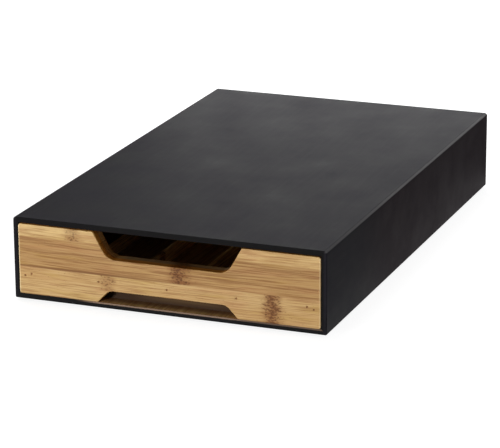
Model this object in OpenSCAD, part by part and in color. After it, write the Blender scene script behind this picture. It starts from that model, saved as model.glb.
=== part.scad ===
// Coffee pod drawer: a flat mitred sleeve and the bamboo drawer that slides out of its mouth.
// The origin is the middle of the footprint, on the surface that the pads stand on.
// The drawer pulls out along -Y, +X is to the right and +Z is up.

/* [Sleeve] */
// Width across the outside of the sleeve
sleeve_w = 226; // [200:1:260]
// Depth of the sleeve from its mouth to its back
sleeve_d = 370; // [260:1:420]
// Height of the sleeve without its pads
sleeve_h = 58; // [54:0.5:75]
// Thickness of the sleeve's boards
board_t = 3.8; // [2.4:0.1:5]
// Rounding of the two long top edges
top_edge_r = 2.2; // [1:0.1:3]
// Rounding of the two long bottom edges
bottom_edge_r = 1; // [0.6:0.1:2]
// Rounding of the outer arris around the mouth and the back
mouth_arris_r = 0.5; // [0.3:0.1:0.5]

/* [Pads] */
// Diameter of an anti-slip pad
pad_d = 12; // [8:1:20]
// Thickness of an anti-slip pad
pad_t = 1.5; // [1:0.1:3]
// Distance from the sleeve's outer faces to the middle of a pad
pad_inset = 18; // [12:1:40]

/* [Front board] */
// Thickness of the front board
front_t = 12; // [10:0.5:16]
// How far the front board stands out of the mouth
front_proud = 1; // [0.5:0.1:3]
// Gap between the front board and the sleeve's roof
front_top_gap = 0.7; // [0.5:0.1:2]
// Rounding of the front board's outer corners, seen from the front
front_corner_r = 1.5; // [1.3:0.1:3]
// Rounding of the front board's arrises
front_arris_r = 0.6; // [0.5:0.1:1]
// Depth of the rebates that take the side walls
rebate_deep = 6; // [4:0.5:8]

/* [Window] */
// Width of the window across the front board's top edge
window_w = 107.5; // [80:0.5:140]
// Depth of the window below the front board's top edge
window_deep = 18.5; // [12:0.1:22]
// Lean of the window's sides from upright, in degrees
window_lean = 29.5; // [15:0.5:45]
// Fillet in the window's lower corners
window_fillet_r = 10.5; // [4:0.5:12]

/* [Finger cut-out] */
// Width of the cut-out across the front board's bottom edge
finger_w = 102; // [80:1:140]
// Height of the cut-out above the front board's bottom edge
finger_deep = 8.9; // [6:0.1:10]
// Lean of the cut-out's sides from upright, in degrees
finger_lean = 43.5; // [15:0.5:50]
// Fillet in the cut-out's upper corners
finger_fillet_r = 8; // [4:0.5:9]

/* [Drawer box] */
// Thickness of the drawer's side and back walls
wall_t = 9; // [7:0.5:12]
// Gap between the drawer's walls and the sleeve's roof
wall_top_gap = 4; // [2:0.5:8]
// Rounding of the walls' top arrises
wall_arris_r = 1; // [0.5:0.1:2]
// Thickness of the floor panel
floor_t = 4; // [3:0.1:5]
// Height of the floor panel's underside above the drawer's lowest edge
floor_lift = 12.7; // [11.5:0.1:16]
// Depth of the grooves that hold the floor panel
groove_deep = 3; // [2:0.1:3.5]
// Thickness of the rail behind the front board
rail_t = 6; // [4:0.5:10]

/* [Lanes] */
// Thickness of a lane divider
divider_t = 3; // [2:0.1:4]
// Height of a lane divider above the floor panel
divider_h = 10; // [6:0.5:20]
// Depth to which the dividers are housed in the floor panel
housing_deep = 1.5; // [1:0.1:2]

/* [Nails] */
// Diameter of a nail's shank
nail_d = 1.2; // [0.8:0.1:1.3]
// Diameter of a nail's head
nail_head_d = 1.6; // [1.4:0.1:2.6]
// Thickness of a nail's head
nail_head_t = 0.8; // [0.5:0.1:1.2]
// Length of a nail with its head
nail_len = 25; // [18:1:35]
// Depth to which the heads are punched below the front face
nail_sunk = 0.4; // [0.2:0.1:0.8]
// Distance from the floor panel's side edges to the outermost nails of its row
nail_inset = 3.2; // [2:0.1:20]

/* [Fits] */
// Gap beside the drawer, on each side
side_gap = 0.3; // [0.2:0.1:1]
// Gap under the drawer's runners
glide_gap = 0.2; // [0.2:0.1:1]
// Gap between the closed drawer and the back board
stop_gap = 0.3; // [0.2:0.1:1]

/* [Hidden] */
$fn = 64;

// How far a cutting shape runs past the face it cuts
overcut = 0.4;
// Chamfer of a pad's lower edge
pad_arris = 0.4;
// Greatest gap between a stepped corner of an outline and its true arc
corner_sag = 0.01;
// Steps across a rounded arris
arris_steps = 4;
// Section of what rounding an arris by 1 takes away: an arc of chords that run on past both
// surfaces, and a point outside the arris
arris_arc = [for (step = [0 : arris_steps])
    let (angle = 90 * step / arris_steps) [1 - cos(angle), 1 - sin(angle)]];
arris_start = arris_arc[0] + (arris_arc[0] - arris_arc[1]) / 2;
arris_section = concat(
    [arris_start],
    [for (step = [1 : arris_steps - 1]) arris_arc[step]],
    [[arris_start.y, arris_start.x], [-0.5, -0.5]]
);
// Lanes between the side walls
lanes = 5;
// Fingers in each rear corner of the drawer, the lowest and the highest on the side wall
corner_fingers = 5;
// Nails along the floor panel's front edge
floor_nails = 5;
// Length of a nail's point
nail_point = 2.5;
// Diameter of the flat at the very tip of a nail
nail_tip_d = 0.3;
// How far the outer nails sit below the row that holds the floor panel
wall_nail_drop = 1.5;

// Sleeve
whole_d = sleeve_d + front_proud;
front_y = -whole_d / 2;
mouth_y = front_y + front_proud;
sleeve_back_y = mouth_y + sleeve_d;
sleeve_bottom_z = pad_t;
sleeve_inner_w = sleeve_w - 2 * board_t;
sleeve_inner_h = sleeve_h - 2 * board_t;
sleeve_floor_z = sleeve_bottom_z + board_t;
sleeve_roof_z = sleeve_floor_z + sleeve_inner_h;
sleeve_corners = [
    [-sleeve_w / 2, sleeve_bottom_z, bottom_edge_r],
    [sleeve_w / 2, sleeve_bottom_z, bottom_edge_r],
    [sleeve_w / 2, sleeve_bottom_z + sleeve_h, top_edge_r],
    [-sleeve_w / 2, sleeve_bottom_z + sleeve_h, top_edge_r],
];

// Front board, whose outline starts at its lowest edge
front_w = sleeve_inner_w - 2 * side_gap;
front_h = sleeve_inner_h - glide_gap - front_top_gap;
front_back_y = front_y + front_t;
drawer_bottom_z = sleeve_floor_z + glide_gap;
window_sill = front_h - window_deep;
window_sill_w = window_w - 2 * window_deep * tan(window_lean);
finger_top_w = finger_w - 2 * finger_deep * tan(finger_lean);
front_corners = [
    [-front_w / 2, 0, front_corner_r],
    [-finger_w / 2, 0, front_corner_r],
    [-finger_top_w / 2, finger_deep, finger_fillet_r],
    [finger_top_w / 2, finger_deep, finger_fillet_r],
    [finger_w / 2, 0, front_corner_r],
    [front_w / 2, 0, front_corner_r],
    [front_w / 2, front_h, front_corner_r],
    [window_w / 2, front_h, front_corner_r],
    [window_sill_w / 2, window_sill, window_fillet_r],
    [-window_sill_w / 2, window_sill, window_fillet_r],
    [-window_w / 2, front_h, front_corner_r],
    [-front_w / 2, front_h, front_corner_r],
];

// Drawer box
wall_h = sleeve_inner_h - glide_gap - wall_top_gap;
wall_front_y = front_back_y - rebate_deep;
box_back_y = sleeve_back_y - board_t - stop_gap;
box_inner_w = front_w - 2 * wall_t;
box_inner_back_y = box_back_y - wall_t;
finger_h = wall_h / corner_fingers;
floor_z = drawer_bottom_z + floor_lift;
floor_top_z = floor_z + floor_t;
floor_w = box_inner_w + 2 * groove_deep;
floor_front_y = front_back_y - groove_deep;
floor_back_y = box_inner_back_y + groove_deep;

// Lanes
lane_w = (box_inner_w - (lanes - 1) * divider_t) / lanes;
lane_pitch = lane_w + divider_t;

// Nails
floor_nail_x = floor_w / 2 - nail_inset;
floor_nail_pitch = 2 * floor_nail_x / (floor_nails - 1);
floor_nail_z = floor_z + floor_t / 2;
wall_nail_x = front_w / 2 - wall_t / 2;
wall_nail_z = floor_nail_z - wall_nail_drop;

bare_bamboo = [0.74, 0.60, 0.41];
brown_bamboo = [0.66, 0.51, 0.33];
black_paint = [0.16, 0.155, 0.15];
pad_rubber = [0.08, 0.08, 0.08];
nail_steel = [0.22, 0.20, 0.18];

// An outline is a list of corners [x, y, radius], run round with the material on the left.

function before(c, i) = (i + len(c) - 1) % len(c);
function after(c, i) = (i + 1) % len(c);
function corner_point(c, i) = [c[i].x, c[i].y];
// Unit direction of the edge that leaves corner i
function edge_way(c, i) =
    let (run = corner_point(c, after(c, i)) - corner_point(c, i)) run / norm(run);
function left_of(way) = [-way.y, way.x];
function heading(way) = atan2(way.y, way.x);
// Turn at corner i: positive at an outer corner, negative at an inner one
function turn(c, i) =
    let (
        arriving = edge_way(c, before(c, i)),
        leaving = edge_way(c, i)
    )
    atan2(cross(arriving, leaving), arriving * leaving);
function setback(c, i) = c[i].z * tan(abs(turn(c, i)) / 2);
function arc_start(c, i) = corner_point(c, i) - setback(c, i) * edge_way(c, before(c, i));
function arc_end(c, i) = corner_point(c, i) + setback(c, i) * edge_way(c, i);
function arc_centre(c, i) =
    arc_start(c, i) + sign(turn(c, i)) * c[i].z * left_of(edge_way(c, before(c, i)));

// Flat shape inside an outline of outer corners, each a true arc
module rounded_outline(c) {
    polygon([for (i = [0 : len(c) - 1]) each [arc_start(c, i), arc_end(c, i)]]);
    for (i = [0 : len(c) - 1]) translate(arc_centre(c, i)) circle(c[i].z);
}

// Steps that keep corner i within the sag
function corner_steps(c, i) = ceil(abs(turn(c, i)) / acos(1 - corner_sag / c[i].z) / 2);

// Points of an outline drawn in by inset, its corners turned in steps
function outline_points(c, inset) = [
    for (i = [0 : len(c) - 1])
        let (
            side = sign(turn(c, i)),
            radius = c[i].z - side * inset,
            first = heading(edge_way(c, before(c, i))) - 90 * side,
            steps = corner_steps(c, i)
        )
        for (step = [0 : steps])
            let (angle = first + turn(c, i) * step / steps)
            arc_centre(c, i) + radius * [cos(angle), sin(angle)]
];

// What rounding takes away along an outline's whole edge, on the face at z = 0: a closed loft of
// the arris's section, whose points are [inset from the edge, depth below the face]
module arris_waste(c, r) {
    section = r * arris_section;
    sides = len(section);
    n = len(outline_points(c, 0));
    polyhedron(
        [for (s = section) for (p = outline_points(c, s.x)) [p.x, p.y, -s.y]],
        [for (i = [0 : sides - 1]) for (j = [0 : n - 1])
            let (here = i * n, there = (i + 1) % sides * n, next = (j + 1) % n)
            [here + j, here + next, there + next, there + j]],
        convexity = 6
    );
}

// Stands an X-Z outline up and carries it from one y to another
module from_y_to(start, end) {
    translate([0, end, 0]) rotate([90, 0, 0]) linear_extrude(end - start) children();
}

// What rounding takes away around both ends of the sleeve
module sleeve_arris_waste() {
    translate([0, mouth_y, 0]) rotate([90, 0, 0]) arris_waste(sleeve_corners, mouth_arris_r);
    translate([0, sleeve_back_y, 0]) mirror([0, 1, 0]) rotate([90, 0, 0])
        arris_waste(sleeve_corners, mouth_arris_r);
}

// The part of the sleeve's ring that one board fills, from mitre to mitre
module mitred_board(mitre) {
    difference() {
        from_y_to(mouth_y, sleeve_back_y) intersection() {
            rounded_outline(sleeve_corners);
            polygon(mitre);
        }
        sleeve_arris_waste();
    }
}

// A top or bottom board, between its outer and inner heights
module level_board(outer_z, inner_z) {
    mitred_board([
        [-sleeve_w / 2, outer_z], [sleeve_w / 2, outer_z],
        [sleeve_inner_w / 2, inner_z], [-sleeve_inner_w / 2, inner_z],
    ]);
}

// A side board, on the side that the sign gives
module side_board(side) {
    mitred_board([
        [side * sleeve_w / 2, sleeve_bottom_z],
        [side * sleeve_w / 2, sleeve_bottom_z + sleeve_h],
        [side * sleeve_inner_w / 2, sleeve_roof_z],
        [side * sleeve_inner_w / 2, sleeve_floor_z],
    ]);
}

module top_board() {
    color(black_paint) level_board(sleeve_bottom_z + sleeve_h, sleeve_roof_z);
}

module bottom_board() {
    color(black_paint) level_board(sleeve_bottom_z, sleeve_floor_z);
}

module left_board() {
    color(black_paint) side_board(-1);
}

module right_board() {
    color(black_paint) side_board(1);
}

// Closes the back between the four boards, and stops the drawer
module back_board() {
    color(black_paint)
        translate([-sleeve_inner_w / 2, sleeve_back_y - board_t, sleeve_floor_z])
            cube([sleeve_inner_w, board_t, sleeve_inner_h]);
}

// Round pad under a corner of the sleeve, its lower edge chamfered
module pad(side, end) {
    color(pad_rubber)
        translate([side * (sleeve_w / 2 - pad_inset), (mouth_y + sleeve_back_y) / 2
            + end * (sleeve_d / 2 - pad_inset), 0])
            rotate_extrude() difference() {
                square([pad_d / 2, pad_t]);
                polygon([[pad_d / 2 - pad_arris, 0], [pad_d / 2, 0], [pad_d / 2, pad_arris]]);
            }
}

// One nail with its head's face at the origin, driven towards +Z
module nail_shape(head_t) {
    translate([0, 0, nail_head_t - head_t]) cylinder(d = nail_head_d, h = head_t);
    cylinder(d = nail_d, h = nail_len - nail_point);
    translate([0, 0, nail_len - nail_point]) cylinder(d1 = nail_d, d2 = nail_tip_d, h = nail_point);
}

// Puts a nail at each place along the front: a row into the floor panel and one into each side wall
module at_nails() {
    for (i = [0 : floor_nails - 1])
        translate([i * floor_nail_pitch - floor_nail_x, front_y + nail_sunk, floor_nail_z])
            rotate([-90, 0, 0]) children();
    for (side = [-1, 1])
        translate([side * wall_nail_x, front_y + nail_sunk, wall_nail_z])
            rotate([-90, 0, 0]) children();
}

// The nails' bores, open to the front face
module nail_bores() {
    at_nails() nail_shape(nail_head_t + nail_sunk + overcut);
}

module front_nails() {
    color(nail_steel) at_nails() nail_shape(nail_head_t);
}

// The space that the floor panel fills, which its grooves are cut to
module floor_space() {
    translate([-floor_w / 2, floor_front_y, floor_z])
        cube([floor_w, floor_back_y - floor_front_y, floor_t]);
}

// The space that a side wall fills, top arrises rounded
module wall_space(side) {
    translate([side * (front_w - wall_t) / 2, 0, 0]) from_y_to(wall_front_y, box_back_y)
        rounded_outline([
            [-wall_t / 2, drawer_bottom_z, 0],
            [wall_t / 2, drawer_bottom_z, 0],
            [wall_t / 2, drawer_bottom_z + wall_h, wall_arris_r],
            [-wall_t / 2, drawer_bottom_z + wall_h, wall_arris_r],
        ]);
}

// Front board with its window and finger cut-out, rebated for the walls and grooved for the floor
module front_board() {
    color(bare_bamboo) difference() {
        translate([0, front_back_y, drawer_bottom_z]) rotate([90, 0, 0]) difference() {
            linear_extrude(front_t) polygon(outline_points(front_corners, 0));
            translate([0, 0, front_t]) arris_waste(front_corners, front_arris_r);
            mirror([0, 0, 1]) arris_waste(front_corners, front_arris_r);
        }
        for (side = [-1, 1])
            translate([side * front_w / 2 - wall_t, wall_front_y, sleeve_floor_z])
                cube([2 * wall_t, rebate_deep + overcut, sleeve_inner_h]);
        floor_space();
        nail_bores();
    }
}

// Rail under the floor panel's front edge, seen through the finger cut-out
module front_rail() {
    color(brown_bamboo)
        translate([-box_inner_w / 2, front_back_y, drawer_bottom_z])
            cube([box_inner_w, rail_t, floor_lift]);
}

// Fingers of the back wall in the drawer's rear corners: every second one, from the second up
module back_wall_fingers() {
    for (i = [1 : 2 : corner_fingers - 2])
        translate([-front_w / 2, box_inner_back_y, drawer_bottom_z + i * finger_h])
            cube([front_w, wall_t, finger_h]);
}

// Side wall, whose lower edge is the runner
module side_wall(side) {
    color(brown_bamboo) difference() {
        wall_space(side);
        floor_space();
        back_wall_fingers();
        nail_bores();
    }
}

module left_wall() {
    side_wall(-1);
}

module right_wall() {
    side_wall(1);
}

// Back wall, its top arrises rounded, finger-jointed between the side walls
module back_wall() {
    color(brown_bamboo) difference() {
        union() {
            translate([-box_inner_w / 2, 0, 0]) rotate([90, 0, 90]) linear_extrude(box_inner_w)
                rounded_outline([
                    [box_inner_back_y, drawer_bottom_z, 0],
                    [box_back_y, drawer_bottom_z, 0],
                    [box_back_y, drawer_bottom_z + wall_h, wall_arris_r],
                    [box_inner_back_y, drawer_bottom_z + wall_h, wall_arris_r],
                ]);
            back_wall_fingers();
        }
        floor_space();
    }
}

// Strip between two lanes, half-round on top, numbered from the left
module lane_divider(number) {
    middle_x = -box_inner_w / 2 + number * lane_pitch - divider_t / 2;
    foot_z = floor_top_z - housing_deep;
    round_z = floor_top_z + divider_h - divider_t / 2;
    translate([middle_x, 0, 0]) from_y_to(front_back_y, box_inner_back_y) {
        translate([-divider_t / 2, foot_z]) square([divider_t, round_z - foot_z]);
        translate([0, round_z]) circle(d = divider_t);
    }
}

// Floor panel, housed for the lane dividers and bored for the nails
module floor_panel() {
    color(bare_bamboo) difference() {
        floor_space();
        for (number = [1 : lanes - 1]) lane_divider(number);
        nail_bores();
    }
}

top_board();
bottom_board();
left_board();
right_board();
back_board();
pad(-1, -1);  // pad_front_left
pad(1, -1);  // pad_front_right
pad(-1, 1);  // pad_rear_left
pad(1, 1);  // pad_rear_right
front_board();
front_rail();
left_wall();
right_wall();
back_wall();
floor_panel();
color(bare_bamboo) lane_divider(1);  // lane_divider_1
color(bare_bamboo) lane_divider(2);  // lane_divider_2
color(bare_bamboo) lane_divider(3);  // lane_divider_3
color(bare_bamboo) lane_divider(4);  // lane_divider_4
front_nails();
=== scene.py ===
"""Looks of the coffee pod drawer: a black-painted bamboo sleeve and its natural bamboo drawer.

Lengths in the materials are in millimetres, in the frame of the solids: +X right, +Y back, +Z up.
Those of the camera, the lamps and the floor are in metres.
"""

import math

import bpy
from mathutils import Matrix, Vector


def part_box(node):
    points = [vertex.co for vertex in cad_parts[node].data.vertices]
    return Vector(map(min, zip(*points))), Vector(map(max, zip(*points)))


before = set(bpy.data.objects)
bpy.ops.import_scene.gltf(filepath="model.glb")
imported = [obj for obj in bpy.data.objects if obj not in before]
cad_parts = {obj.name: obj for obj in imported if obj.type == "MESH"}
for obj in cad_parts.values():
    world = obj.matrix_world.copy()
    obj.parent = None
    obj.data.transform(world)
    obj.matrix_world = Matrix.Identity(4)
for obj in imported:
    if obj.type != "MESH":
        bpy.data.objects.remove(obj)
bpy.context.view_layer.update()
scene = bpy.context.scene
scene.view_settings.view_transform = "Standard"


# ---------------------------------------------------------------- places on the solids


def end_of(node, way):
    """Where a node ends in a way such as "-x" or "+z", in millimetres to the nearest hundredth."""
    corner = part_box(node)["-+".index(way[0])]
    return round(corner["xyz".index(way[1])] * 1000, 2)


# The sleeve is symmetric, so its right side stands for both. Its roof and its deck face the drawer,
# and its stop is what the drawer meets at the back.
SLEEVE_SIDE = end_of("right_board", "+x")
SLEEVE_INNER_SIDE = end_of("right_board", "-x")
SLEEVE_TOP = end_of("top_board", "+z")
SLEEVE_ROOF = end_of("top_board", "-z")
SLEEVE_DECK = end_of("bottom_board", "+z")
SLEEVE_MOUTH = end_of("top_board", "-y")
SLEEVE_STOP = end_of("back_board", "-y")
FRONT_FACE = end_of("front_board", "-y")
FRONT_BACK = end_of("front_board", "+y")
FRONT_END = end_of("front_board", "+x")
FRONT_FOOT = end_of("front_board", "-z")
# The paint of the mouth's edge reaches at least this far in.
PAINT_LINE = SLEEVE_MOUTH + 0.1


# ---------------------------------------------------------------- camera and lamps


def look_from(place, azimuth, elevation, roll, lens):
    """The camera at a place in metres. It looks back along the direction that the azimuth (from -Y
    towards +X) and the elevation give, and is turned by roll about that direction, all in degrees."""
    a, e, r = (math.radians(angle) for angle in (azimuth, elevation, roll))
    back = Vector((math.sin(a) * math.cos(e), -math.cos(a) * math.cos(e), math.sin(e)))
    level = (-back).cross(Vector((0, 0, 1))).normalized()
    upright = level.cross(-back)
    right = math.cos(r) * level + math.sin(r) * upright
    up = math.cos(r) * upright - math.sin(r) * level
    data = bpy.data.cameras.new("camera")
    data.lens = lens
    data.sensor_width = 36
    data.clip_start = 0.05
    data.clip_end = 50
    camera = bpy.data.objects.new("camera", data)
    camera.matrix_world = Matrix((
        (right.x, up.x, back.x, place[0]),
        (right.y, up.y, back.y, place[1]),
        (right.z, up.z, back.z, place[2]),
        (0, 0, 0, 1),
    ))
    scene.collection.objects.link(camera)
    scene.camera = camera


def soft_lamp(name, place, aim, size, watts):
    """A flat area lamp at a place, turned to face a point. Its size is a width and a height."""
    data = bpy.data.lights.new(name, "AREA")
    data.shape = "RECTANGLE"
    data.size, data.size_y = size
    data.energy = watts
    lamp = bpy.data.objects.new(name, data)
    lamp.location = place
    lamp.rotation_mode = "QUATERNION"
    lamp.rotation_quaternion = (Vector(aim) - Vector(place)).to_track_quat("-Z", "Y")
    scene.collection.objects.link(lamp)


look_from(place=(0.658588, -1.722633, 0.588326), azimuth=21.278, elevation=17.355, roll=-0.354,
          lens=190.387)
soft_lamp("front_lamp", place=(-0.9, -2.3, 0.2), aim=(0, -0.15, 0.03), size=(0.36, 0.36), watts=60)
soft_lamp("top_lamp", place=(-0.45, 0.45, 1.4), aim=(0, 0.1, 0.05), size=(1.1, 1.1), watts=20)
soft_lamp("back_lamp", place=(-0.01, 0.53, 0.14), aim=(0, 0.1, 0.06), size=(0.62, 0.12), watts=0.95)
soft_lamp("side_lamp", place=(1.5, -0.1, 0.5), aim=(0.1, 0, 0.03), size=(0.5, 0.5), watts=7)


# ---------------------------------------------------------------- node trees


class Field:
    """A number that changes over the surface: an output socket that can stand in a sum."""

    def __init__(self, tree, socket):
        self.tree, self.socket = tree, socket

    def with_other(self, operation, other, swapped=False):
        pair = (other, self) if swapped else (self, other)
        return maths(self.tree, operation, *pair)

    def __add__(self, other):
        return self.with_other("ADD", other)

    def __radd__(self, other):
        return self.with_other("ADD", other)

    def __sub__(self, other):
        return self.with_other("SUBTRACT", other)

    def __rsub__(self, other):
        return self.with_other("SUBTRACT", other, True)

    def __mul__(self, other):
        return self.with_other("MULTIPLY", other)

    def __rmul__(self, other):
        return self.with_other("MULTIPLY", other)

    def __truediv__(self, other):
        return self.with_other("DIVIDE", other)

    def floor(self):
        return maths(self.tree, "FLOOR", self)

    def fraction(self):
        return maths(self.tree, "FRACT", self)

    def size(self):
        return maths(self.tree, "ABSOLUTE", self)

    def higher(self, other):
        return self.with_other("MAXIMUM", other)

    def fade(self, start, end):
        """0 at start, 1 at end, and smooth in between; start may be the larger."""
        low, high = (start, end) if start < end else (end, start)
        rising = add(self.tree, "ShaderNodeMapRange", {
            "Value": self, "From Min": low, "From Max": high,
            "To Min": 0 if start < end else 1, "To Max": 1 if start < end else 0,
        }, interpolation_type="SMOOTHSTEP")
        return Field(self.tree, rising.outputs["Result"])

    def up_to(self, limit):
        """1 up to a limit and 0 past it. A face that lies on the limit counts as 1."""
        skin = 0.02
        return (self - (limit + skin)).fade(skin / 2, -skin / 2)


def plug(tree, value, entry):
    """A number, a colour, a socket or a Field goes into a node's input."""
    if isinstance(value, Field):
        value = value.socket
    if isinstance(value, bpy.types.NodeSocket):
        tree.links.new(value, entry)
    else:
        entry.default_value = value


def add(tree, kind, inputs=None, **settings):
    """A new node with its settings and with what goes into its inputs."""
    made = tree.nodes.new(kind)
    for name, value in settings.items():
        setattr(made, name, value)
    for name, value in (inputs or {}).items():
        plug(tree, value, made.inputs[name])
    return made


def maths(tree, operation, *values):
    made = add(tree, "ShaderNodeMath", dict(enumerate(values)), operation=operation)
    return Field(tree, made.outputs[0])


def stretched(tree, place, scale):
    """The place with each of its three parts scaled by its own amount."""
    made = add(tree, "ShaderNodeVectorMath", {0: place, 1: scale}, operation="MULTIPLY")
    return made.outputs[0]


def noise(tree, place, scale, detail=2.0, roughness=0.5):
    """Smooth noise, 0 to 1 about a middle of 0.5, with scale patches to the millimetre each way."""
    made = add(tree, "ShaderNodeTexNoise", {
        "Vector": stretched(tree, place, scale), "Scale": 1, "Detail": detail,
        "Roughness": roughness,
    })
    return Field(tree, made.outputs["Fac"])


def chance(tree, number):
    """What a number draws by lot, the same each time: the outputs Value, 0 to 1, and Color."""
    return add(tree, "ShaderNodeTexWhiteNoise", {"W": number}, noise_dimensions="1D").outputs


def blend(tree, share, first, second, how="MIX"):
    """The colour that lies the given share of the way from the first colour to the second."""
    made = add(tree, "ShaderNodeMix", {0: share, 6: first, 7: second},
               data_type="RGBA", blend_type=how)
    return made.outputs[2]


def coats(tree, color, *layers):
    """A colour under several coats, each given as the share that it covers and its own colour."""
    for share, coat in layers:
        color = blend(tree, share, color, coat)
    return color


def parts(tree, place):
    """The three parts of a place, each as a Field."""
    split = add(tree, "ShaderNodeSeparateXYZ", {"Vector": place})
    return [Field(tree, socket) for socket in split.outputs]


def joined(tree, x, y, z):
    return add(tree, "ShaderNodeCombineXYZ", {0: x, 1: y, 2: z}).outputs[0]


def effect(name, inputs, outputs):
    """A shader node group, its sockets given as {name: starting value} and [(name, kind)]. It comes
    with its inputs as Fields and with the entries that take its outputs."""
    tree = bpy.data.node_groups.new(name, "ShaderNodeTree")
    for label, value in inputs.items():
        kind = "NodeSocketFloat" if isinstance(value, (int, float)) else "NodeSocketVector"
        socket = tree.interface.new_socket(name=label, in_out="INPUT", socket_type=kind)
        socket.default_value = value
    for label, kind in outputs:
        tree.interface.new_socket(name=label, in_out="OUTPUT", socket_type="NodeSocket" + kind)
    entry = tree.nodes.new("NodeGroupInput")
    fields = {label: Field(tree, entry.outputs[label]) for label in inputs}
    return tree, fields, tree.nodes.new("NodeGroupOutput").inputs


def placed(tree, group, inputs):
    """The outputs of a group that is placed in a material, with its own values."""
    return add(tree, "ShaderNodeGroup", inputs, node_tree=group).outputs


def finish_tree(name):
    """A new material: its tree, its Principled shader and the place on the object in millimetres."""
    material = bpy.data.materials.new(name)
    material.use_nodes = True
    tree = material.node_tree
    here = add(tree, "ShaderNodeTexCoord").outputs["Object"]
    return material, tree, tree.nodes["Principled BSDF"], stretched(tree, here, (1000,) * 3)


def feed(tree, shader, color, roughness, height, relief, specular=0.5):
    """Colour, roughness, a relief in millimetres and the level of the clear reflection go into the
    shader."""
    bump = add(tree, "ShaderNodeBump", {"Height": height, "Distance": relief / 1000, "Strength": 1})
    plug(tree, color, shader.inputs["Base Color"])
    plug(tree, roughness, shader.inputs["Roughness"])
    plug(tree, bump.outputs["Normal"], shader.inputs["Normal"])
    plug(tree, specular, shader.inputs["Specular IOR Level"])


# ---------------------------------------------------------------- colours


def shade(red, green, blue):
    """A colour named by its screen values from 0 to 255, as the renderer's linear light."""
    linear = [(c / 255 / 12.92) if c <= 10 else ((c / 255 + 0.055) / 1.055) ** 2.4
              for c in (red, green, blue)]
    return (*linear, 1)


PALE_STRAW = shade(240, 203, 136)
DEEP_STRAW = shade(228, 187, 120)
YELLOW_STRAW = shade(222, 186, 94)
PINK_STRAW = shade(228, 172, 118)
STRIP_BROWN = shade(184, 140, 92)
BAND_BROWN = shade(164, 118, 68)
STREAK_BROWN = shade(154, 107, 60)
STREAK_PALE = shade(240, 204, 144)
FIBRE_BROWN = shade(156, 106, 58)
FIBRE_PALE = shade(242, 210, 152)
JOINT_BROWN = shade(158, 106, 54)
DASH_BROWN = shade(84, 44, 12)
GLUE_BROWN = shade(92, 58, 34)

MIDDLE_STRIP_TINT = shade(228, 216, 202)
SEAM_BROWN = shade(112, 74, 38)
FIGURE_PALE = shade(250, 222, 156)
# Painted shade for the front board's cut faces, lighter on its left slopes as painted light
CUT_FRONT_SHADE = shade(206, 168, 112)
CUT_REAR_SHADE = shade(186, 190, 214)
SLOPE_FRONT_LIGHT = shade(255, 206, 132)
SLOPE_REAR_LIGHT = shade(255, 240, 225)
# Painted highlight on the front board's ends
RIM_HIGHLIGHT = shade(250, 228, 180)
# Painted shadow along the front board's lowest edge
FOOT_SHADOW = shade(84, 52, 28)
# Painted shade on the rail
RAIL_SHADE_BROWN = shade(43, 25, 9)
# The sleeve's bare bamboo stain, with painted shade deep in the deck
STAIN_AND_SHADE_BROWN = shade(92, 58, 40)

PAINT_DARK = shade(14, 13, 17)
PAINT_LIGHT = shade(24, 22, 28)
PAINT_STREAK = shade(36, 34, 38)
PAINT_DUST = shade(58, 55, 53)
# Painted highlight on the top arrises
PAINT_ARRIS_HIGHLIGHT = shade(84, 82, 83)
# Painted shade on the flanks
PAINT_FLANK_SHADE = shade(17, 5, 12)
# Painted shade on the edge round the mouth
PAINT_MOUTH_SHADE = shade(8, 7, 6)
# Paint wearing through on the deck arris, with a painted highlight
PAINT_WORN_HIGHLIGHT = shade(130, 108, 92)

RUBBER_DARK = shade(36, 36, 37)
RUBBER_LIGHT = shade(50, 50, 50)
RUBBER_DUST = shade(96, 93, 88)
NAIL_DARK = shade(124, 86, 52)
NAIL_LIGHT = shade(146, 104, 64)


# ---------------------------------------------------------------- shared effects


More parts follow.
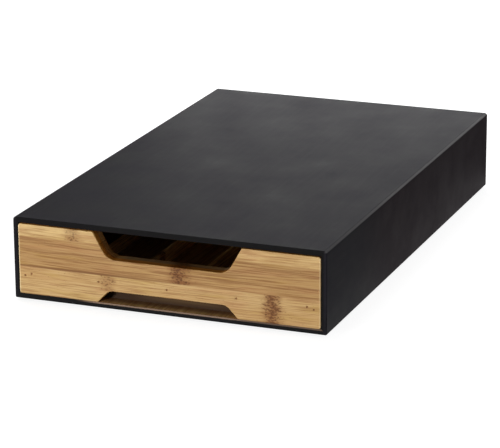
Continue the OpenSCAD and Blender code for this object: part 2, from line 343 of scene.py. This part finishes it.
def make_bamboo_grain():
    """Laminated bamboo. Strips lie side by side across the grain, in plies through the thickness.

    strip = floor((across + wander - start) / width), and each strip of each ply reads its own part
    of the noises, which are long along the grain and short the other two ways. The fibres bow by
    bow * along^2. Where a joint of the cane crosses a strip, brown dashes take their place."""
    tree, given, out = effect("bamboo_grain", {
        "Place": (0, 0, 0), "Strip width": 21.7, "Strip start": 0.0, "Ply thickness": 6.0,
        "Ply start": 0.0, "Streaks": 0.5, "Joint": 0.0, "Tones": 0.4, "Bow": 0.0, "Seed": 0.0,
    }, [("Color", "Color"), ("Roughness", "Float"), ("Height", "Float")])
    along, across, through = parts(tree, given["Place"])
    wander = noise(tree, joined(tree, along, given["Seed"], 0), (0.012, 1, 1), 1) - 0.5
    strips = (across + 1.6 * wander - given["Strip start"]) / given["Strip width"]
    plies = (through - given["Ply start"]) / given["Ply thickness"]
    own = chance(tree, strips.floor() * 7.3 + plies.floor() * 3.7 + given["Seed"])
    tone = Field(tree, own["Value"])
    shift = stretched(tree, own["Color"], (900, 400, 400))
    bowed = joined(tree, along, across - given["Bow"] * along * along, through)
    spot = add(tree, "ShaderNodeVectorMath", {0: bowed, 1: shift}, operation="ADD").outputs[0]

    def figure(lengthwise, crosswise, detail, roughness=0.5):
        """Noise with so many patches to the millimetre along the grain and the other two ways."""
        return noise(tree, spot, (lengthwise, crosswise, crosswise), detail, roughness)

    fibre = figure(0.045, 1.7, 3, 0.6)
    streak = figure(0.022, 0.85, 2, 0.55)
    bands = figure(0.012, 0.34, 2, 0.6)
    broad = figure(0.011, 0.08, 1)
    tint = figure(0.03, 0.16, 1)
    dashes = figure(0.6, 1.05, 2, 0.6)
    mottled = (dashes + 0.3 * given["Joint"]).fade(0.64, 0.86)

    to_strip_edge = (strips.fraction() - 0.5).size() * -1 + 0.5
    glue = (to_strip_edge * given["Strip width"]).fade(0.22, 0.05)
    to_ply_edge = (plies.fraction() - 0.5).size() * -1 + 0.5
    ply_glue = (to_ply_edge * given["Ply thickness"]).fade(0.3, 0.1)

    color = coats(
        tree, PALE_STRAW,
        (broad.fade(0.35, 0.65), DEEP_STRAW),
        (tint.fade(0.56, 0.66) * 0.35, YELLOW_STRAW),
        (tint.fade(0.44, 0.34) * 0.35, PINK_STRAW),
        (tone * given["Tones"], STRIP_BROWN),
        (bands.fade(0.42, 0.66) * given["Streaks"] * 0.55, BAND_BROWN),
        (streak.fade(0.47, 0.62) * (0.26 + 0.5 * given["Streaks"]), STREAK_BROWN),
        (streak.fade(0.46, 0.34) * 0.4, STREAK_PALE),
        (fibre.fade(0.48, 0.66) * 0.5, FIBRE_BROWN),
        (fibre.fade(0.45, 0.34) * 0.35, FIBRE_PALE),
        (given["Joint"] * 0.9, JOINT_BROWN),
        (mottled * 0.85, DASH_BROWN),
        (glue.higher(ply_glue) * 0.5, GLUE_BROWN),
    )
    plug(tree, color, out["Color"])
    plug(tree, 0.40 + 0.16 * fibre + 0.08 * given["Joint"], out["Roughness"])
    plug(tree, 0.5 + (fibre - 0.5) * 0.8 - glue * 0.5 - mottled * 0.3, out["Height"])
    return tree


def make_cane_joint():
    """Where a joint of the cane crosses one strip: 1 at its middle, fading to 0 past its half width,
    with an edge that wanders, between the strip's two edges."""
    tree, given, out = effect("cane_joint", {
        "Place": (0, 0, 0), "Middle": 0.0, "Half width": 7.0, "Strip low": 0.0,
        "Strip high": 20.0, "Strength": 1.0,
    }, [("Joint", "Float")])
    along, across = parts(tree, given["Place"])[:2]
    sway = noise(tree, given["Place"], (0.09, 0.22, 0.22), 3, 0.6) - 0.5
    off = (along + 14 * sway - given["Middle"]).size() / given["Half width"]
    above = (across - given["Strip low"]).fade(-0.5, 0.5)
    below = (given["Strip high"] - across).fade(-0.5, 0.5)
    plug(tree, off.fade(1.4, 0.0) * (above * below) * given["Strength"], out["Joint"])
    return tree


def make_scattered_joints():
    """Joints of the cane at a regular spacing along each strip, shifted strip by strip by chance."""
    tree, given, out = effect("scattered_joints", {
        "Place": (0, 0, 0), "Strip width": 21.7, "Strip start": 0.0, "Ply thickness": 6.0,
        "Ply start": 0.0, "Spacing": 240.0, "Half width": 6.0, "Seed": 0.0,
    }, [("Joint", "Float")])
    along, across, through = parts(tree, given["Place"])
    strip = ((across - given["Strip start"]) / given["Strip width"]).floor()
    ply = ((through - given["Ply start"]) / given["Ply thickness"]).floor()
    shift = Field(tree, chance(tree, strip * 5.9 + ply * 2.3 + given["Seed"])["Value"])
    sway = noise(tree, given["Place"], (0.05, 0.16, 0.16), 2) - 0.5
    turn = ((along + 6 * sway) / given["Spacing"] + shift * 7).fraction() - 0.5
    joint = (turn.size() * given["Spacing"] / given["Half width"]).fade(1.2, 0.3)
    plug(tree, joint, out["Joint"])
    return tree


def make_matt_mottle():
    """A matt surface's faint clouds, fine rubbed streaks and dust."""
    tree, given, out = effect("matt_mottle", {
        "Place": (0, 0, 0), "Cloud size": 40.0, "Seed": 0.0,
    }, [("Clouds", "Float"), ("Streaks", "Float"), ("Dust", "Float")])
    along, across, up = parts(tree, given["Place"])
    spot = joined(tree, along + given["Seed"] * 31, across, up)
    share = maths(tree, "DIVIDE", 1, given["Cloud size"])
    sized = add(tree, "ShaderNodeVectorMath", {0: spot, "Scale": share}, operation="SCALE")
    plug(tree, noise(tree, sized.outputs[0], (1, 1, 1), 4, 0.6), out["Clouds"])
    plug(tree, noise(tree, spot, (0.35, 0.02, 0.35), 3, 0.65), out["Streaks"])
    plug(tree, noise(tree, spot, (1.6, 1.6, 1.6), 1).fade(0.66, 0.78), out["Dust"])
    return tree


def make_black_paint():
    """Matt black paint: clouded, streaked and dusty, with a painted highlight along the two long top
    arrises, more so towards the back, and a painted shade, darker and warmer, on the flanks behind
    their front part. Painted shade makes it darkest on the edge round the mouth, apart from its outer
    sides. There the bottom board's upper arris turns light brown by the share for wear and shading,
    across the middle, half as much at the right and not at the left: paint wearing through with a
    painted highlight."""
    tree, given, out = effect("black_paint", {
        "Place": (0, 0, 0), "Clouds": 0.5, "Streaks": 0.5, "Dust": 0.0, "Wear and shading": 0.0,
    }, [("Color", "Color"), ("Roughness", "Float"), ("Height", "Float")])
    x, y, z = parts(tree, given["Place"])
    clouds = given["Clouds"]
    streaks = given["Streaks"]
    # Painted highlight on the rounded top arrises, stronger towards the back.
    top_arris_highlight = x.size().fade(SLEEVE_SIDE - 2.0, SLEEVE_SIDE - 0.9)
    top_arris_highlight = top_arris_highlight * z.fade(SLEEVE_TOP - 1.6, SLEEVE_TOP - 1.0)
    towards_back = y.fade(SLEEVE_MOUTH - 0.5, 0)
    # Painted shade on the flanks: darker and warmer behind their front part.
    flank_shade = x.size().fade(SLEEVE_SIDE - 0.4, SLEEVE_SIDE - 0.1) * y.fade(-150, -40)
    mouth = y.fade(PAINT_LINE + 0.4, PAINT_LINE)
    # Painted shade: the edge round the mouth is darkest, apart from its outer sides.
    off_sides = x.size().fade(SLEEVE_SIDE - 1.7, SLEEVE_SIDE - 2.7)
    # The bottom board's upper arris: paint wearing through, with a painted highlight.
    deck_arris = z.fade(SLEEVE_DECK - 1.25, SLEEVE_DECK - 0.7)
    deck_arris = deck_arris * z.fade(SLEEVE_DECK + 0.3, SLEEVE_DECK + 0.1)
    rubbed_and_highlit = deck_arris * mouth * x.fade(-70, -50) * (0.5 + 0.5 * x.fade(60, 40))
    color = coats(
        tree, PAINT_DARK,
        (clouds.fade(0.3, 0.7), PAINT_LIGHT),
        (streaks.fade(0.4, 0.75) * 0.15, PAINT_STREAK),
        (given["Dust"] * 0.25, PAINT_DUST),
        (top_arris_highlight * (0.6 + 0.4 * towards_back), PAINT_ARRIS_HIGHLIGHT),
        (flank_shade, PAINT_FLANK_SHADE),
        (mouth * off_sides * 0.8, PAINT_MOUTH_SHADE),
        (rubbed_and_highlit * given["Wear and shading"], PAINT_WORN_HIGHLIGHT),
    )
    plug(tree, color, out["Color"])
    plug(tree, 0.45 + 0.26 * clouds - 0.03 * streaks, out["Roughness"])
    plug(tree, clouds * 0.3 + streaks * 0.08, out["Height"])
    return tree


def make_sleeve_inside():
    """The unpainted inside of the sleeve. Bare is 1 on the faces round it, from the paint's edge just
    inside the mouth to the back board, and 0 elsewhere. The share for wear and shading brings that
    edge nearer to the mouth and makes it less ragged. The other output is the bare bamboo's share of
    brown: a half as its own stain, and with that share more deep inside, as painted shade, and less
    at the mouth, as painted light."""
    tree, given, out = effect("sleeve_inside", {"Place": (0, 0, 0), "Wear and shading": 0.0},
                              [("Bare", "Float"), ("Stain and shade", "Float")])
    x, y, z = parts(tree, given["Place"])
    middle = (SLEEVE_DECK + SLEEVE_ROOF) / 2
    ragged = noise(tree, given["Place"], (0.22, 0.5, 0.22), 3, 0.6) * (4 - 4 * given["Wear and shading"])
    past_paint = (y - PAINT_LINE - ragged).fade(-0.1, 0.3)
    between = x.size().up_to(SLEEVE_INNER_SIDE) * (z - middle).size().up_to(SLEEVE_ROOF - middle)
    near_mouth = y.fade(PAINT_LINE + 8.4, PAINT_LINE)
    plug(tree, between * y.up_to(SLEEVE_STOP) * past_paint, out["Bare"])
    # Painted shade deep inside and painted light at the mouth, on top of the stain.
    plug(tree, 0.5 + given["Wear and shading"] * (0.3 - 0.75 * near_mouth), out["Stain and shade"])
    return tree


bamboo_grain = make_bamboo_grain()
cane_joint = make_cane_joint()
scattered_joints = make_scattered_joints()
matt_mottle = make_matt_mottle()
black_paint = make_black_paint()
sleeve_inside = make_sleeve_inside()


# ---------------------------------------------------------------- bamboo of the drawer


def turned(tree, place, grain):
    """The place as (along, across, through) for a piece whose grain is listed as three axes."""
    x, y, z = parts(tree, place)
    return joined(tree, *({"x": x, "y": y, "z": z}[axis] for axis in grain))


# The front board is glued up from strips of one width, whose seams lie at these heights.
FRONT_STRIP = 21.6
FRONT_STRIPS_FROM = 3.6
LOWER_SEAM = FRONT_STRIPS_FROM + FRONT_STRIP
UPPER_SEAM = LOWER_SEAM + FRONT_STRIP
# Its cane joints: the middle along X, the half width, the lowest and highest point, the strength.
FRONT_JOINTS = (
    (-69.0, 6.5, UPPER_SEAM, 60.0, 0.66),
    (9.0, 9.5, LOWER_SEAM, UPPER_SEAM, 0.86),
    (-43.5, 6.5, 14.0, LOWER_SEAM, 0.54),
    (75.0, 7.5, 2.0, LOWER_SEAM, 1.0),
)


def front_joints(tree, place):
    """The cane joints of the front board, of which the strongest counts at each place."""
    strongest = None
    for middle, half_width, low, high, strength in FRONT_JOINTS:
        joint = placed(tree, cane_joint, {
            "Place": place, "Middle": middle, "Half width": half_width, "Strip low": low,
            "Strip high": high, "Strength": strength,
        })
        joint = Field(tree, joint["Joint"])
        strongest = joint if strongest is None else strongest.higher(joint)
    return strongest


def lower_seam(along, across):
    """The dark line along the lower seam: boldest well left of the middle, faint at the right."""
    on_left = along.fade(15, -10)
    boldest = (along + 62).size().fade(45, 15)
    line = (across - (LOWER_SEAM + 0.5)).size().fade(1.2, 0.3)
    return (0.2 + 0.3 * on_left + 0.45 * boldest) * line


def cut_tints(tree, color, along, through):
    """The colour with painted shade on the faces that are cut through the board, the front half
    warmer and the rear half darker and bluer. Those at the left, such as the slopes there, get
    lighter tones as painted light."""
    middle = (FRONT_FACE + FRONT_BACK) / 2
    # Painted shade on the cut faces, and painted light on the left slopes.
    cut = through.fade(FRONT_FACE + 0.3, FRONT_FACE + 0.8)
    left_slopes = along.fade(-30, -42)
    front_shade_tint = blend(tree, left_slopes, CUT_FRONT_SHADE, SLOPE_FRONT_LIGHT)
    rear_shade_tint = blend(tree, left_slopes, CUT_REAR_SHADE, SLOPE_REAR_LIGHT)
    front_half = cut * through.fade(middle + 1, middle - 1)
    rear_half = cut * through.fade(middle - 1, middle + 1)
    color = blend(tree, front_half, color, front_shade_tint, "MULTIPLY")
    return blend(tree, rear_half, color, rear_shade_tint, "MULTIPLY")


def bamboo_front():
    """The front board: three strips, the middle one browner and the top one with a paler figure, with
    cane joints, a dark lower seam, painted shade on its cuts, painted highlights along its two ends
    and a painted shadow along its lowest edge."""
    material, tree, shader, here = finish_tree("bamboo_front")
    place = turned(tree, here, "xzy")
    along, across, through = parts(tree, place)
    middle_strip = across.fade(LOWER_SEAM - 0.3, LOWER_SEAM + 0.3)
    middle_strip = middle_strip * across.fade(UPPER_SEAM + 0.5, UPPER_SEAM - 0.5)
    top_strip = across.fade(UPPER_SEAM - 0.2, UPPER_SEAM + 0.6)
    grain = placed(tree, bamboo_grain, {
        "Place": place, "Strip width": FRONT_STRIP, "Strip start": FRONT_STRIPS_FROM,
        "Ply thickness": 6.0, "Ply start": FRONT_FACE, "Streaks": 0.15 + 0.4 * middle_strip,
        "Joint": front_joints(tree, place), "Tones": 0.0, "Bow": 0.00012, "Seed": 4.0,
    })
    figure = noise(tree, place, (0.05, 0.4, 0.3), 3, 0.6).fade(0.42, 0.6) * top_strip
    # Painted highlights along the board's two ends.
    left_rim_highlight = along.fade(1.0 - FRONT_END, 0.3 - FRONT_END)
    right_rim_highlight = along.fade(FRONT_END - 1.0, FRONT_END - 0.3)
    # Painted shadow along the board's lowest edge.
    foot_shadow = across.fade(FRONT_FOOT + 0.7, FRONT_FOOT + 0.3)

    color = blend(tree, middle_strip * 0.8, grain["Color"], MIDDLE_STRIP_TINT, "MULTIPLY")
    color = coats(tree, color, (lower_seam(along, across), SEAM_BROWN), (figure * 0.16, FIGURE_PALE))
    color = cut_tints(tree, color, along, through)
    color = coats(tree, color, (left_rim_highlight * 0.6 + right_rim_highlight * 0.3, RIM_HIGHLIGHT), (foot_shadow * 0.7, FOOT_SHADOW))
    feed(tree, shader, color, grain["Roughness"], grain["Height"], relief=0.06, specular=0.14)
    return material


def rail_shade(tree, here):
    """The rail's painted shade: least in the middle of the finger cut-out and at its top."""
    x, z = parts(tree, here)[::2]
    near_middle = (x - 8).size().fade(50, 5)
    return 1 - 0.11 * near_middle * z.fade(4.5, 10.5)


def bamboo_board(name, grain, strip, strips_from, ply, plies_from, seed, painted_shade=None):
    """A plain board of the drawer box: its grain's axes, the width of its strips and where they
    start, the thickness of its plies and where they start, and its own seed. Where it has a painted
    shade, a function of the tree and the place gives the share of dark brown."""
    material, tree, shader, here = finish_tree(name)
    layout = {"Place": turned(tree, here, grain), "Strip width": strip, "Strip start": strips_from,
              "Ply thickness": ply, "Ply start": plies_from, "Seed": seed}
    joints = Field(tree, placed(tree, scattered_joints, layout)["Joint"])
    wood = placed(tree, bamboo_grain, {**layout, "Streaks": 0.45, "Joint": joints * 0.8})
    color = wood["Color"]
    if painted_shade:
        # Painted shade: the board is darkened towards dark brown by the given share.
        color = blend(tree, painted_shade(tree, here), color, RAIL_SHADE_BROWN)
    feed(tree, shader, color, wood["Roughness"], wood["Height"], relief=0.06, specular=0.08)
    return material


# ---------------------------------------------------------------- sleeve, pads and nails


def painted_board(name, grain, strips_from, seed, wear_and_shading):
    """A sleeve board: black paint outside and just inside the mouth, bare bamboo with a stain within.
    The share for wear and shading is how far the mouth's edge of the board wears through; it also
    sets the painted shade and light on the bare deck and the painted highlight on that edge."""
    material, tree, shader, here = finish_tree(name)
    layout = {"Place": turned(tree, here, grain), "Strip width": 19.0, "Strip start": strips_from,
              "Ply thickness": 3.4, "Ply start": 0.0, "Seed": seed}
    joints = Field(tree, placed(tree, scattered_joints, layout)["Joint"])
    wood = placed(tree, bamboo_grain, {**layout, "Streaks": 0.5, "Joint": joints * 0.8})
    marks = placed(tree, matt_mottle, {"Place": here, "Cloud size": 34.0, "Seed": seed})
    paint = placed(tree, black_paint, {
        "Place": here, "Clouds": marks["Clouds"], "Streaks": marks["Streaks"],
        "Dust": marks["Dust"], "Wear and shading": wear_and_shading,
    })
    inside = placed(tree, sleeve_inside, {"Place": here, "Wear and shading": wear_and_shading})
    bare = Field(tree, inside["Bare"])
    # The bare bamboo: its stain, with painted shade and light where the bottom board wears.
    stained_and_shaded = blend(tree, inside["Stain and shade"], wood["Color"], STAIN_AND_SHADE_BROWN)
    color = blend(tree, bare, paint["Color"], stained_and_shaded)
    rough, height = (
        Field(tree, paint[trait]) * (1 - bare) + Field(tree, wood[trait]) * bare
        for trait in ("Roughness", "Height")
    )
    feed(tree, shader, color, rough, height, relief=0.05, specular=0.05)
    return material


def pad_rubber():
    """Soft black rubber with a little dust."""
    material, tree, shader, here = finish_tree("pad_rubber")
    marks = placed(tree, matt_mottle, {"Place": here, "Cloud size": 3.0, "Seed": 2.0})
    clouds = Field(tree, marks["Clouds"])
    dust = Field(tree, marks["Dust"])
    color = coats(tree, RUBBER_DARK, (clouds, RUBBER_LIGHT), (dust * 0.4, RUBBER_DUST))
    feed(tree, shader, color, 0.75 + 0.15 * clouds, clouds, relief=0.03)
    return material


def nail_steel():
    """Dull dark steel with a rusty tinge."""
    material, tree, shader, here = finish_tree("nail_steel")
    marks = placed(tree, matt_mottle, {"Place": here, "Cloud size": 0.7, "Seed": 5.0})
    clouds = Field(tree, marks["Clouds"])
    color = blend(tree, clouds.fade(0.4, 0.7), NAIL_DARK, NAIL_LIGHT)
    feed(tree, shader, color, 0.45 + 0.25 * clouds, clouds, relief=0.02, specular=0.1)
    return material


# ---------------------------------------------------------------- which piece has which finish


def dress(node, material):
    """All faces of a node take one material."""
    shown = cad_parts[node]
    shown.data.materials.clear()
    shown.data.materials.append(material)


dress("front_board", bamboo_front())
# The rail takes a painted shade, least in the middle of the finger cut-out and at its top.
dress("front_rail", bamboo_board("bamboo_rail", "xzy", strip=21.7, strips_from=1.0, ply=6.0,
                                 plies_from=FRONT_BACK, seed=11, painted_shade=rail_shade))
BOX_STRIP = 20.3
for node, name, grain, strips_from, ply, plies_from, seed in (
    ("left_wall", "bamboo_left_wall", "yzx", 1.2, 4.5, end_of("left_wall", "-x"), 21),
    ("right_wall", "bamboo_right_wall", "yzx", 5.4, 4.5, end_of("right_wall", "-x"), 22),
    ("back_wall", "bamboo_back_wall", "xzy", 3.1, 4.5, end_of("back_wall", "-y"), 23),
    ("floor_panel", "bamboo_floor", "yxz", -6.0, 2.0, end_of("floor_panel", "-z"), 24),
):
    dress(node, bamboo_board(name, grain, BOX_STRIP, strips_from, ply, plies_from, seed))
# A divider lies within one strip and one ply, so no seam crosses it.
for number in (1, 2, 3, 4):
    dress(f"lane_divider_{number}", bamboo_board(
        f"bamboo_divider_{number}", "yzx", strip=30.0, strips_from=12.0, ply=40.0,
        plies_from=-200.0, seed=30 + number))
for side, grain, strips_from, seed, wear_and_shading in (
    ("top", "yxz", -7.0, 41, 0.0),
    ("bottom", "yxz", 3.0, 42, 0.9),
    ("left", "yzx", 2.0, 43, 0.0),
    ("right", "yzx", 5.0, 44, 0.0),
    ("back", "xzy", 4.0, 45, 0.0),
):
    dress(side + "_board", painted_board("painted_" + side, grain, strips_from, seed, wear_and_shading))
rubber = pad_rubber()
for corner in ("front_left", "front_right", "rear_left", "rear_right"):
    dress("pad_" + corner, rubber)
dress("front_nails", nail_steel())


# ---------------------------------------------------------------- white stage


def seen_directly(tree, mirrored):
    """1 for rays from the camera, also through glass, the mirrored share for those of a reflection,
    and 0 for those that light the object."""
    path = add(tree, "ShaderNodeLightPath").outputs
    glossy = Field(tree, path["Is Glossy Ray"]) * mirrored
    return glossy.higher(path["Is Camera Ray"]).higher(path["Is Transmission Ray"])


def white_floor(reach, grey, own_light, glow_reach):
    """A level grey square about the origin, white where the camera sees it, that keeps the shadow.
    A reflection shows that white only as near to the object as the glow's reach. From below, the
    floor can't be seen."""
    mesh = bpy.data.meshes.new("floor")
    mesh.from_pydata([(-reach, -reach, 0), (reach, -reach, 0), (reach, reach, 0),
                      (-reach, reach, 0)], [], [(0, 1, 2, 3)])
    floor = bpy.data.objects.new("floor", mesh)
    scene.collection.objects.link(floor)
    material = bpy.data.materials.new("white_floor")
    material.use_nodes = True
    tree = material.node_tree
    shader = tree.nodes["Principled BSDF"]
    shader.inputs["Base Color"].default_value = (grey, grey, grey, 1)
    shader.inputs["Roughness"].default_value = 1
    shader.inputs["Specular IOR Level"].default_value = 0
    shader.inputs["Emission Color"].default_value = (1, 1, 1, 1)
    x, y = parts(tree, add(tree, "ShaderNodeTexCoord").outputs["Object"])[:2]
    half_width = SLEEVE_SIDE / 1000
    half_depth = -FRONT_FACE / 1000
    near = (x.size() - half_width).higher(y.size() - half_depth).fade(glow_reach, 0.0)
    plug(tree, seen_directly(tree, near) * own_light, shader.inputs["Emission Strength"])
    below = add(tree, "ShaderNodeNewGeometry").outputs["Backfacing"]
    clear = add(tree, "ShaderNodeBsdfTransparent").outputs[0]
    mixed = add(tree, "ShaderNodeMixShader", {0: below, 1: shader.outputs[0], 2: clear})
    plug(tree, mixed.outputs[0], tree.nodes["Material Output"].inputs["Surface"])
    mesh.materials.append(material)


def white_world(light, mirrored):
    """The world is white where the camera sees it, mirrored by a share in the object, and lights it
    at a plain level."""
    world = bpy.data.worlds.new("white_world")
    world.use_nodes = True
    scene.world = world
    tree = world.node_tree
    seen = seen_directly(tree, mirrored)
    background = tree.nodes["Background"]
    background.inputs["Color"].default_value = (1, 1, 1, 1)
    plug(tree, seen + (1 - seen) * light, background.inputs["Strength"])


white_floor(reach=12, grey=0.3, own_light=0.88, glow_reach=0.06)
white_world(light=0.12, mirrored=0.34)
